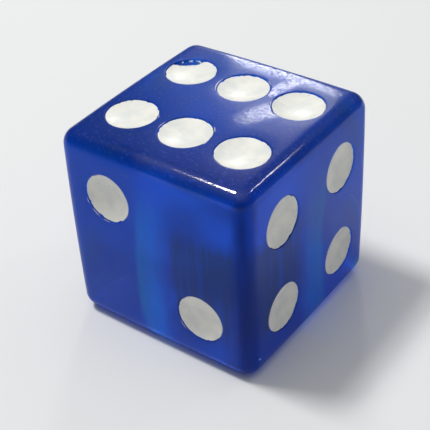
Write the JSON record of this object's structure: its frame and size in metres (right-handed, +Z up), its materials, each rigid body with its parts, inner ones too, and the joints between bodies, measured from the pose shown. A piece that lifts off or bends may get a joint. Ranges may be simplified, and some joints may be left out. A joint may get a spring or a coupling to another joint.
{
  "type": "casino die",
  "caption": "Translucent blue six-sided die with rounded edges and dished white enamelled pips, for table games of chance.",
  "frame": {"origin": "on the resting face, under the middle of the die", "axes": "+Z up, out of the face with six pips; +X out of the face with four pips; -Y out of the face with two pips"},
  "size_m": [0.019, 0.019, 0.0191],
  "materials": {
    "blue_resin": "gloss",
    "white_enamel": "satin"
  },
  "bodies": {
    "root": {"die_body": "blue_resin", "one_pip": "white_enamel", "two_pip_1": "white_enamel", "two_pip_2": "white_enamel", "three_pip_1": "white_enamel", "three_pip_2": "white_enamel", "three_pip_3": "white_enamel", "four_pip_1": "white_enamel", "four_pip_2": "white_enamel", "four_pip_3": "white_enamel", "four_pip_4": "white_enamel", "five_pip_1": "white_enamel", "five_pip_2": "white_enamel", "five_pip_3": "white_enamel", "five_pip_4": "white_enamel", "five_pip_5": "white_enamel", "six_pip_1": "white_enamel", "six_pip_2": "white_enamel", "six_pip_3": "white_enamel", "six_pip_4": "white_enamel", "six_pip_5": "white_enamel", "six_pip_6": "white_enamel"}
  },
  "joints": []
}
